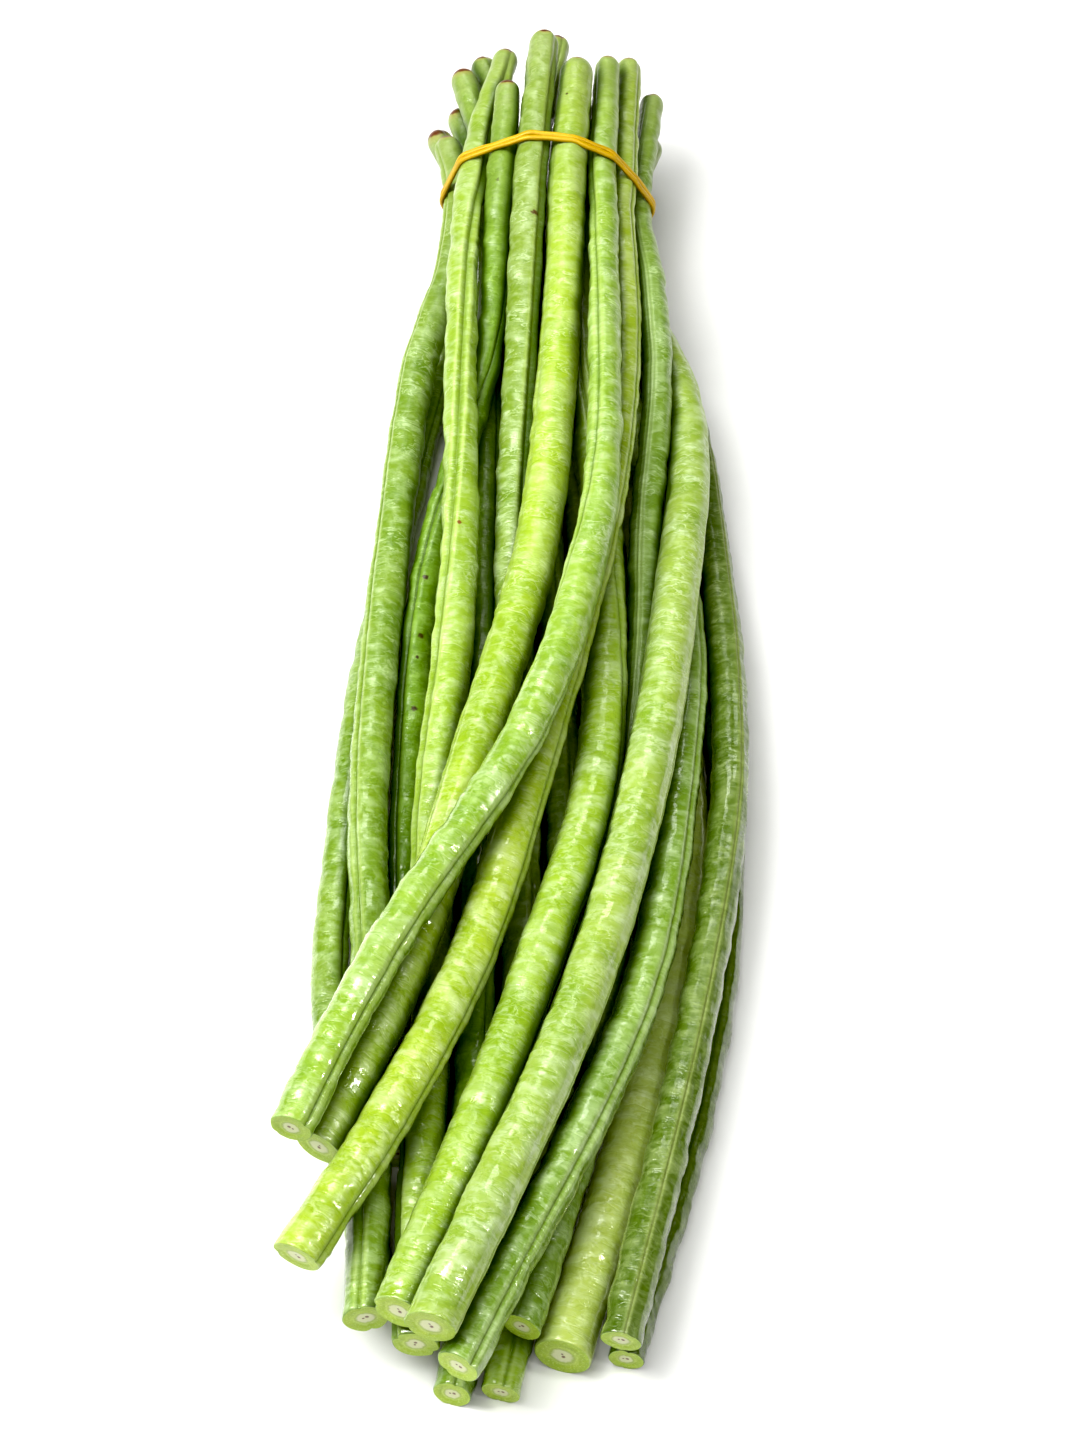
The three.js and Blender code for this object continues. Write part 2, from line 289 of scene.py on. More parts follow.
class Recipe:
    """A material under construction: its colour so far, and the steps that the finishes share."""

    def __init__(self, name: str, base: str) -> None:
        """Starts a material with one even colour.

        Args:
            name: the material's name.
            base: the colour under all others, as six hexadecimal digits.
        """
        self.material = bpy.data.materials.new(name)
        self.material.use_nodes = True
        self.tree = self.material.node_tree
        self.tree.nodes.clear()
        self.shader = self.node("BsdfPrincipled")
        self.node("OutputMaterial", Surface=self.shader.outputs["BSDF"])
        self.colour: Input = from_hex(base)

    def put(self, socket: Socket, value: Input) -> None:
        """Links a socket to another one, or sets its value.

        Args:
            socket: the input to fill.
            value: the output that feeds it, or its value.
        """
        if isinstance(value, bpy.types.NodeSocket):
            self.tree.links.new(value, socket)
        else:
            socket.default_value = value

    def node(self, kind: str, **inputs: Input) -> bpy.types.ShaderNode:
        """Adds a node.

        Args:
            kind: the node's type, without the word that all of them start with.
            inputs: its inputs, named with underscores for spaces.

        Returns:
            The node.
        """
        node = self.tree.nodes.new("ShaderNode" + kind)
        for name, value in inputs.items():
            self.put(node.inputs[name.replace("_", " ")], value)
        return node

    def fact(self, name: str, output: str = "Fac") -> Socket:
        """Reads one of the values kept in the mesh.

        Args:
            name: the value's name.
            output: which of its outputs to take.

        Returns:
            The value.
        """
        node = self.node("Attribute")
        node.attribute_name = name
        return node.outputs[output]

    def straight(self) -> Socket:
        """Place on the straightened piece, in millimetres."""
        return self.fact("straight", "Vector")

    def scaled(self, place: Socket, scale: Sequence[float], shift: float) -> Socket:
        """Stretches a place along its axes and moves it, so that two patterns differ."""
        moved = (shift, shift * 0.37, -shift)
        return self.node("Mapping", Vector=place, Scale=scale, Location=moved).outputs["Vector"]

    def cloud(self, place: Socket, pattern: Cloud) -> Socket:
        """Cloudy values from 0 to 1, mostly near a half.

        Args:
            place: where to look them up.
            pattern: how fine and how rough they are.

        Returns:
            The value there.
        """
        vector = self.scaled(place, pattern.repeats, pattern.shift)
        node = self.node("TexNoise", Vector=vector, Scale=1.0, Detail=pattern.detail)
        self.put(node.inputs["Roughness"], pattern.rough)
        self.put(node.inputs["Distortion"], pattern.twist)
        return node.outputs["Fac"]

    def step(self, value: Input, low: float, high: float, top: float = 1.0) -> Socket:
        """Rises smoothly from 0 at low to top at high.

        Args:
            value: what to look up.
            low: where the rise starts. It may be the higher of the two.
            high: where it ends.
            top: the highest result.

        Returns:
            The risen value.
        """
        node = self.node("MapRange", Value=value, From_Min=min(low, high), From_Max=max(low, high))
        node.interpolation_type = "SMOOTHSTEP"
        left, right = (0.0, top) if low < high else (top, 0.0)
        self.put(node.inputs["To Min"], left)
        self.put(node.inputs["To Max"], right)
        return node.outputs["Result"]

    def _worked(self, node: bpy.types.ShaderNode, kind: str, values: Sequence[Input]) -> bpy.types.ShaderNode:
        """Sets what a node of numbers or places works out.

        Args:
            node: the node.
            kind: the kind of sum.
            values: its inputs, in their order.

        Returns:
            The same node.
        """
        node.operation = kind
        for socket, value in zip(node.inputs, values):
            self.put(socket, value)
        return node

    def sum(self, kind: str, *numbers: Input) -> Socket:
        """Does one sum with numbers, of the kind that is named."""
        return self._worked(self.node("Math"), kind, numbers).outputs["Value"]

    def places(self, kind: str, *places: Input, output: str = "Vector") -> Socket:
        """Does one sum with places, of the kind that is named."""
        return self._worked(self.node("VectorMath"), kind, places).outputs[output]

    def plus(self, first: Input, second: Input) -> Socket:
        """Adds two numbers."""
        return self.sum("ADD", first, second)

    def minus(self, first: Input, second: Input) -> Socket:
        """Takes the second number from the first."""
        return self.sum("SUBTRACT", first, second)

    def times(self, first: Input, second: Input) -> Socket:
        """Multiplies two numbers."""
        return self.sum("MULTIPLY", first, second)

    def lay(self, share: Input, colour: str) -> None:
        """Lays a colour over what is there.

        Args:
            share: how much of it shows.
            colour: the colour, as six hexadecimal digits.
        """
        node = self.node("Mix")
        node.data_type = "RGBA"
        for place, value in ((0, share), (6, self.colour), (7, from_hex(colour))):
            self.put(node.inputs[place], value)
        self.colour = node.outputs[2]

    def near(self, place: Socket, centre: Sequence[float], size: Sequence[float]) -> Socket:
        """Distance from a point, with the sizes along the three axes counted as 1."""
        squeezed = self.places("DIVIDE", self.places("SUBTRACT", place, centre), size)
        return self.places("LENGTH", squeezed, output="Value")

    def pebbles(self, place: Socket) -> Socket:
        """Low rounded pebbles that touch.

        Args:
            place: where to look them up. It is drawn about, so that they stand in no rows.

        Returns:
            Their height, from 0 to 1.
        """
        drift = self.node("TexNoise", Vector=place, Scale=0.35, Detail=2.0).outputs["Color"]
        centred = self.places("SUBTRACT", drift, (0.5, 0.5, 0.5))
        place = self.places("MULTIPLY_ADD", centred, (1.6, 1.6, 1.6), place)
        node = self.node("TexVoronoi")
        node.feature = "SMOOTH_F1"
        self.put(node.inputs["Vector"], self.scaled(place, (0.30, 0.55, 0.30), 2.9))
        self.put(node.inputs["Scale"], 1.0)
        self.put(node.inputs["Smoothness"], 0.35)
        return self.minus(1.0, node.outputs["Distance"])

    def creases(self, place: Socket, width: float = 0.045) -> tuple[Socket, Socket, Socket]:
        """Short curved creases, as thin lines that wander round the bumps of a noise.

        Args:
            place: where to look them up.
            width: how wide the lines are, as a share of the noise.

        Returns:
            The lit edge of each crease, its shaded edge, and a height that falls into it.
        """
        bumps = self.cloud(place, CREASES)
        lit, shaded, depth = (
            self.sum("ABSOLUTE", self.minus(bumps, 0.5 + offset)) for offset in (width, -width, 0.0)
        )
        return self.step(lit, width, 0.0), self.step(shaded, width, 0.0), self.step(depth, 0.0, 3 * width)

    def specks(self, vector: Socket, size: float, share: float) -> Socket:
        """Scattered round dots.

        Args:
            vector: where to look them up. One dot fits into each unit of it.
            size: radius of a dot in those units.
            share: share of the places that hold a dot.

        Returns:
            1 on a dot and 0 beside it.
        """
        node = self.node("TexVoronoi", Vector=vector, Scale=1.0)
        split = self.node("SeparateColor", Color=node.outputs["Color"])
        inside = self.minus(self.times(split.outputs["Green"], size), node.outputs["Distance"])
        dot = self.step(inside, 0.0, size * 0.35)
        return self.times(dot, self.sum("LESS_THAN", split.outputs["Red"], share))

    def bump(self, height: Socket, distance: float, strength: float) -> None:
        """Presses a relief from 0 to 1 into the surface, as deep as the distance in metres."""
        node = self.node("Bump", Strength=strength, Distance=distance, Height=height)
        self.put(self.shader.inputs["Normal"], node.outputs["Normal"])

    def finish(self, **values: Input) -> bpy.types.Material:
        """Gives the shader its colour and its other values.

        Args:
            values: the values, named with underscores for spaces.

        Returns:
            The finished material.
        """
        self.put(self.shader.inputs["Base Color"], self.colour)
        for name, value in values.items():
            self.put(self.shader.inputs[name.replace("_", " ")], value)
        return self.material


@dataclass(frozen=True)
class Mark:
    """A scar on the skin: where it is along the pod and round it, and its size in millimetres."""

    along: float
    turn: float
    length: float = 0.8
    width: float = 1.2
    colour: str = "54311b"

    def reach(self, recipe: Recipe, place: Socket, radius: float) -> Socket:
        """Distance from the scar, in its own sizes.

        Args:
            recipe: the material that shows the scar.
            place: the place on the straightened pod.
            radius: the pod's radius there, in millimetres.

        Returns:
            The distance, which is 1 at the scar's edge.
        """
        turn = math.radians(self.turn)
        centre = (radius * math.sin(turn), self.along, radius * math.cos(turn))
        return recipe.near(place, centre, (self.width, self.length, self.width))


@dataclass(frozen=True)
class Skin:
    """The finish of a pod's skin: its greens, how wet and speckled it is, and how much light is painted on
    its ridges.
    """

    body: str
    light: str
    # light and deep are the greens of the random mottling; they also serve as the painted light and painted
    # shade of the relief
    deep: str
    furrow: str = "647d1c"
    lip: str = "bbcb84"
    # painted shade: the dark green laid where neighbouring pods cover the skin
    gap_shade_colour: str = "284800"
    gap_shade_share: float = 0.8  # how much painted shade darkens the skin between pods
    wet: float = 0.8
    # how strongly light is painted on the ridges of folds, pebbles and creases
    painted_ridge_light: float = 0.5
    specks: float = 0.06

    def material(
        self, name: str, radius: float, marks: Sequence[Mark], scar: Mark, wet_from: float
    ) -> bpy.types.Material:
        """Makes the skin's material.

        Args:
            name: the material's name.
            radius: the pod's radius in millimetres.
            marks: its scars.
            scar: the brown scar on its tip.
            wet_from: distance from the tip at which it turns wet, in millimetres.

        Returns:
            The material.
        """
        recipe = Recipe(name, self.body)
        place, from_tip = recipe.straight(), recipe.fact("from_tip")
        pebbles = recipe.pebbles(place)
        self._mottle(recipe, place, pebbles)
        crease = self._wrinkle(recipe, place, recipe.step(from_tip, wet_from + 60, wet_from - 10, 0.45))
        recipe.lay(recipe.times(recipe.fact("lip"), 0.4), self.lip)
        recipe.lay(recipe.times(recipe.fact("furrow"), 0.75), self.furrow)
        self._age_tip(recipe, place, from_tip, scar)
        # painted shade: darkens the skin where neighbouring pods cover it
        recipe.lay(recipe.step(recipe.fact("painted_gap_shade"), 0.12, 0.90, self.gap_shade_share), self.gap_shade_colour)
        slits = recipe.specks(recipe.scaled(place, (0.13, 0.30, 0.13), 2.3), 0.11, self.specks * 3)
        recipe.lay(recipe.times(slits, 0.55), "4a5a12")
        dots = recipe.specks(recipe.scaled(place, (0.16, 0.16, 0.16), 9.4), 0.075, self.specks)
        recipe.lay(recipe.times(dots, 0.85), "3d2a10")
        ragged = recipe.times(recipe.cloud(place, RAGGED), 1.6)
        for mark in marks:
            reach = recipe.plus(mark.reach(recipe, place, radius), ragged)
            recipe.lay(recipe.step(reach, 2.0, 1.4, 0.92), mark.colour)
        hairs = recipe.cloud(place, HAIRS)
        relief = recipe.sum("MULTIPLY_ADD", crease, 0.20, recipe.times(pebbles, 0.45))
        recipe.bump(recipe.sum("MULTIPLY_ADD", hairs, 0.04, relief), 0.20 * MM, 0.8)
        lower = recipe.step(from_tip, wet_from, wet_from + 70, self.wet)
        wet = recipe.times(recipe.step(recipe.cloud(place, DAMP), 0.36, 0.58), lower)
        matt = recipe.plus(0.28, recipe.times(hairs, 0.08))
        return recipe.finish(
            Roughness=recipe.minus(matt, recipe.times(wet, 0.20)),
            Coat_Weight=recipe.plus(0.12, recipe.times(wet, 0.88)),
            Coat_Roughness=0.06,
            Subsurface_Weight=0.12,
            Subsurface_Radius=(0.9, 1.0, 0.35),
            Subsurface_Scale=1.6 * MM,
        )

    def _mottle(self, recipe: Recipe, place: Socket, pebbles: Socket) -> None:
        """Lays the broad mottling, and paints light and shade onto the swellings, folds and pebbles.

        Args:
            recipe: the material under construction.
            place: place on the straightened pod.
            pebbles: height of the pebbles.
        """
        recipe.lay(recipe.step(recipe.cloud(place, PATCHES), 0.40, 0.70, 0.32), self.deep)
        recipe.lay(recipe.step(recipe.cloud(place, MOTTLES), 0.44, 0.74, 0.30), self.light)
        height = recipe.fact("height")
        # painted light and shade: darker in the hollows and paler on the swellings of the relief
        recipe.lay(recipe.step(height, 0.45, 0.0, 0.20), self.deep)
        recipe.lay(recipe.step(height, 0.55, 1.0, 0.16), self.light)
        fold = recipe.fact("fold")
        # painted light and shade: paler on the fold ridges and darker in the fold hollows
        recipe.lay(recipe.step(fold, 0.58, 0.92, 0.56 * self.painted_ridge_light), self.light)
        recipe.lay(recipe.step(fold, 0.38, 0.10, 0.2), self.deep)
        # painted highlight: paler on the tops of the pebbles
        recipe.lay(recipe.step(pebbles, 0.55, 0.9, 0.3 * self.painted_ridge_light), self.light)

    def _wrinkle(self, recipe: Recipe, place: Socket, dryness: Socket) -> Socket:
        """Lays the thin lit and shaded edges of the skin's creases.

        Args:
            recipe: the material under construction.
            place: place on the straightened pod.
            dryness: how much the lit edges gain on dry skin.

        Returns:
            A height that falls into the creases.
        """
        lit, shaded, crease = recipe.creases(place)
        areas = recipe.step(recipe.cloud(place, CREASED_AREAS), 0.40, 0.58)
        recipe.lay(recipe.times(recipe.times(shaded, areas), 0.28), self.deep)
        shine = recipe.times(recipe.plus(dryness, 0.45), self.painted_ridge_light)
        recipe.lay(recipe.times(recipe.times(lit, areas), shine), self.light)
        return crease

    def _age_tip(self, recipe: Recipe, place: Socket, from_tip: Socket, scar: Mark) -> None:
        """Greys the skin towards the tip and puts the small brown scar on its end.

        Args:
            recipe: the material under construction.
            place: place on the straightened pod.
            from_tip: distance from the tip.
            scar: the scar.
        """
        grey = recipe.cloud(place, GREYING)
        recipe.lay(recipe.step(from_tip, 100, 5, 0.45), "84964a")
        recipe.lay(recipe.times(recipe.step(from_tip, 24, 2, 0.7), recipe.step(grey, 0.25, 0.6)), "8f9e62")
        reach = recipe.plus(scar.reach(recipe, place, 2.5), recipe.times(grey, 1.2))
        recipe.lay(recipe.step(reach, 3.0, 1.9, 0.55), "a09455")
        recipe.lay(recipe.step(reach, 2.05, 1.65, 0.92), scar.colour)


@dataclass(frozen=True)
class CutFlesh:
    """The finish of a cut end: a thin skin ring, green flesh and a pale pith with brown spots."""

    flesh: str = "aac23e"
    cloudy: str = "98b434"
    pale: str = "d4e488"
    olive: str = "889c40"
    pith: str = "dadcb8"
    bright: str = "e4eac2"
    rim: str = "9cbc46"
    spot: str = "6a4430"
    edge: float = 0.44  # radius of the pith, as a share of the pod's
    spots: Sequence[Sequence[float]] = ((0.35, 0.2, 0.42), (-0.5, -0.1, 0.26))  # across, up and size

    def material(self, name: str) -> bpy.types.Material:
        """Makes the cut end's material.

        Args:
            name: the material's name.

        Returns:
            The material.
        """
        recipe = Recipe(name, self.flesh)
        place = recipe.straight()
        cloudy, fine = recipe.cloud(place, FLESH_CLOUDS), recipe.cloud(place, FLESH_FIBRES)
        true_ring = recipe.fact("ring")
        ring = recipe.plus(true_ring, recipe.times(recipe.minus(cloudy, 0.5), 0.22))
        recipe.lay(recipe.step(cloudy, 0.35, 0.65, 0.6), self.cloudy)
        recipe.lay(recipe.step(fine, 0.5, 0.66, 0.35), self.pale)
        recipe.lay(recipe.step(ring, self.edge + 0.22, self.edge + 0.02, 0.4), self.pale)
        recipe.lay(recipe.step(ring, self.edge + 0.06, self.edge - 0.02, 0.45), self.olive)
        recipe.lay(recipe.step(ring, self.edge, self.edge - 0.14, 0.9), self.pith)
        recipe.lay(recipe.step(fine, 0.55, 0.75, 0.2), self.bright)
        recipe.lay(recipe.step(true_ring, 0.90, 0.95, 0.8), self.rim)
        for across, up, size in self.spots:
            reach = recipe.near(place, (across, 0.0, up), (size, 1e6, size))
            reach = recipe.plus(reach, recipe.times(fine, 0.8))
            recipe.lay(recipe.step(reach, 1.7, 0.9, 0.9), self.spot)
        recipe.bump(fine, 0.25 * MM, 0.7)
        return recipe.finish(
            Roughness=recipe.plus(0.25, recipe.times(fine, 0.25)),
            Subsurface_Weight=0.25,
            Subsurface_Radius=(0.9, 1.0, 0.5),
            Subsurface_Scale=1.6 * MM,
        )


@dataclass(frozen=True)
class Rubber:
    """The finish of the rubber band."""

    body: str = "b6960c"
    light: str = "ceaa20"
    # deep is the colour of the dust, and also of the painted shade on the strands' undersides
    deep: str = "8a6006"

    def material(self, name: str) -> bpy.types.Material:
        """Makes the rubber's material.

        Args:
            name: the material's name.

        Returns:
            The material.
        """
        recipe = Recipe(name, self.body)
        place = recipe.straight()
        grain, dust = recipe.cloud(place, RUBBER_GRAIN), recipe.cloud(place, RUBBER_DUST)
        recipe.lay(recipe.step(grain, 0.4, 0.62, 0.8), self.light)
        recipe.lay(recipe.step(dust, 0.55, 0.7, 0.35), self.deep)
        # painted shade on the inner underside of each strand, where it lies against the pods
        recipe.lay(recipe.times(recipe.fact("painted_underside_shade"), 0.85), self.deep)
        recipe.bump(grain, 0.12 * MM, 0.7)
        return recipe.finish(
            Roughness=recipe.plus(0.34, recipe.times(dust, 0.2)),
            Subsurface_Weight=0.15,
            Subsurface_Radius=(1.0, 0.5, 0.1),
            Subsurface_Scale=0.8 * MM,
        )


@dataclass(frozen=True)
class Paper:
    """The finish of the studio floor."""

    shade: str = "dfdfdd"
    grey: str = "d8d8d6"

    def material(self) -> bpy.types.Material:
        """Makes the floor's material.

        Returns:
            The material.
        """
        recipe = Recipe("studio_floor", self.shade)
        grain = recipe.cloud(recipe.node("TexCoord").outputs["Object"], PAPER_GRAIN)
        recipe.lay(recipe.step(grain, 0.3, 0.7, 0.2), self.grey)
        return recipe.finish(Roughness=0.75)


# ---- the line and thickness of a solid ----


class Course:
    """The line that a pod follows and its thickness along it, taken from its solid, in millimetres."""

    STEP = 6.0
    REACH = 32.0  # how far round a point the solid is looked at
    TIP, CUT = 7.0, 2.0  # lengths at the two ends whose sections aren't full
    SPACING = 3.0  # of the samples that neighbours look at
    AHEAD = 1.5  # how far the line is followed both ways for its direction
    SIDES = 8  # corners of a section
    CORNERS = 2 * math.sqrt(2)  # area of such a section over its corner radius squared

    def __init__(self, node: str) -> None:
        """Follows the solid both ways from its middle.

        Args:
            node: name of the solid.
        """
        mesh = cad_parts[node].data
        mesh.calc_loop_triangles()
        points = np.empty(len(mesh.vertices) * 3)
        mesh.vertices.foreach_get("co", points)
        corners = np.empty(len(mesh.loop_triangles) * 3, np.int32)
        mesh.loop_triangles.foreach_get("vertices", corners)
        self._points = points.reshape(-1, 3) / MM
        self._triangles = self._points[corners.reshape(-1, 3)]
        halfway = (self._points[:, 1].min() + self._points[:, 1].max()) / 2
        middle = self._points[np.abs(self._points[:, 1] - halfway).argsort()[: self.SIDES]].mean(0)
        start, _ = self._section(middle, np.array([0.0, -1.0, 0.0]))
        to_tip = self._follow(start, np.array([0.0, 1.0, 0.0]))
        to_cut = self._follow(start, np.array([0.0, -1.0, 0.0]))
        rows = to_tip[::-1] + to_cut[1:]
        centres = np.array([centre for centre, _ in rows])
        radii = np.array([radius for _, radius in rows])
        places = np.concatenate([[0], np.cumsum(np.linalg.norm(np.diff(centres, axis=0), axis=1))])
        self.length = float(places[-1])
        self._centre = smooth_line(places, centres)
        body = (places > self.TIP) & (places < self.length - self.CUT)
        self._radii = places[body], radii[body]

    def _section(self, point: Array, normal: Array) -> tuple[Array, float]:
        """Cuts the solid with a plane.

        Args:
            point: a point of the plane.
            normal: direction at right angles to it.

        Returns:
            The middle of the section and its area.
        """
        near = np.linalg.norm(self._triangles - point, axis=2).min(1) < self.REACH
        corners = self._triangles[near]
        height = (corners - point) @ normal
        crossing = (height.min(1) < 0) & (height.max(1) >= 0)
        corners, height = corners[crossing], height[crossing]
        ends, hits = [], []
        for a, b in ((0, 1), (1, 2), (2, 0)):
            low, high = height[:, a], height[:, b]
            hit = (low < 0) != (high < 0)
            share = np.where(hit, low / np.where(hit, low - high, 1), 0)[:, None]
            ends.append(corners[:, a] * (1 - share) + corners[:, b] * share)
            hits.append(hit[:, None])
        first = np.where(hits[0], ends[0], ends[1])
        second = np.where(hits[2], ends[2], ends[1])
        hub = (first.mean(0) + second.mean(0)) / 2
        area = np.abs(np.cross(first - hub, second - hub) @ normal) / 2
        middle = ((first + second + hub) / 3 * area[:, None]).sum(0) / area.sum()
        return middle, float(area.sum())

    def _follow(self, start: Array, heading: Array) -> list[tuple[Array, float]]:
        """Walks along the solid from a section in its middle to its end.

        Args:
            start: middle of the first section.
            heading: rough direction to walk in.

        Returns:
            Centre and radius of each section, and of the solid's end.
        """
        spot, rows = start, []
        while True:
            for _ in range(2):
                centre, area = self._section(spot, heading)
                if rows:
                    heading = unit(centre - rows[-1][0])
            rows.append((centre, math.sqrt(area / self.CORNERS)))
            around = self._points[np.linalg.norm(self._points - centre, axis=1) < self.REACH]
            left = float(((around - centre) @ heading).max())
            if left < 1.6 * self.STEP:
                rows.append((centre + heading * left, rows[-1][1]))
                return rows
            spot = centre + heading * self.STEP

    def radius(self, along: Array) -> Array:
        """Radius of the full section at distances from the tip."""
        return np.interp(along, *self._radii)

    def frame(self, along: Array) -> tuple[Array, Array, Array, Array]:
        """Gives the line's place and directions.

        Args:
            along: distances from the tip.

        Returns:
            Centres, running directions, sideways directions and upward directions.
        """
        least = 1.0  # keeps the two places apart beyond the line's ends
        before = self._centre(np.clip(along - self.AHEAD, 0, self.length - least))
        after = self._centre(np.clip(along + self.AHEAD, least, self.length))
        run = unit(after - before)
        across = unit(np.cross(np.array([0.0, 0.0, 1.0]), run))
        return self._centre(along), run, across, np.cross(run, across)

    def samples(self) -> tuple[Array, Array]:
        """Evenly spaced points along the line, and the radius at each."""
        along = np.arange(0, self.length, self.SPACING)
        return self._centre(along), self.radius(along)

    def where(self, y: float) -> float:
        """Distance from the tip at which the line passes a place along the bunch."""
        along = np.linspace(0, self.length, 400)
        return float(along[np.abs(self._centre(along)[:, 1] - y).argmin()])


# ---- pods ----


class Seam(Enum):
    """How a pod's seams look."""

    FURROW = "one thin furrow between two low lips"
    VALLEY = "a wide olive valley between swollen shoulders"
    DOUBLE = "a low rib with two thin lines along it"
    RIDGE = "a pale ridge with a thin line along it"
    FAINT = "hardly raised"


Hump = tuple[float, float, float]  # height, distance from the seam and width


@dataclass(frozen=True)
class SeamForm:
    """A seam's cross-section and colours, as rounded humps beside it, in millimetres."""

    steady: Sequence[Hump]  # relief that is the same all along
    varied: Sequence[Hump]  # relief that is deeper in some places than in others
    furrow: Sequence[Hump]  # shares of the furrow's colour
    lip: Hump  # share of the lip's colour
    blend: Callable[..., Array] = np.max  # how the furrow's shares go together


SEAM_FORMS = {
    Seam.FURROW: SeamForm(
        steady=((-0.20, 0, 0.9), (0.12, 1.5, 0.65)),
        varied=((-0.28, 0, 0.28),),
        furrow=((1, 0, 0.27), (0.3, 0, 0.65)),
        lip=(0.8, 0.95, 0.4),
    ),
    Seam.VALLEY: SeamForm(
        steady=((-0.10, 0, 0.24), (0.22, 1.7, 0.75)),
        varied=((-0.46, 0, 0.78),),
        furrow=((0.95, 0, 0.66), (1, 0, 0.2)),
        lip=(1, 1.5, 0.42),
    ),
    Seam.DOUBLE: SeamForm(
        steady=((0.24, 0, 1), (-0.10, 1.8, 0.5)),
        varied=((-0.20, 0.5, 0.22),),
        furrow=((0.75, 0.5, 0.22), (0.2, 1.8, 0.5)),
        lip=(1, 0, 1),
        blend=np.sum,
    ),
    Seam.RIDGE: SeamForm(
        steady=((0.24, 0, 0.85), (-0.12, 1.9, 0.55)),
        varied=((-0.26, 0, 0.24),),
        furrow=((0.7, 0, 0.2),),
        lip=(1, 0, 0.7),
    ),
    Seam.FAINT: SeamForm(
        steady=((-0.08, 0, 0.5),),
        varied=(),
        furrow=((0.25, 0, 0.35),),
        lip=(0.3, 0, 1),
    ),
}

WARPS = (Layer(2.4, 3, 12, 1), Layer(0.9, 5, 5, 2))
SWELLINGS = (Layer(0.20, 3, 9, 3), Layer(0.23, 4, 4.2, 4))
SEED_DRIFT = Layer(3, 1, 40, 5)
FOLDS = Layer(2, 5, 2.2, 6)
FOLD_STRENGTH = Layer(0.4, 3, 16, 7)
PUCKERS = Layer(1, 9, 1.7, 8)
SEAM_DEPTH = Layer(0.25, 1, 5, 9)


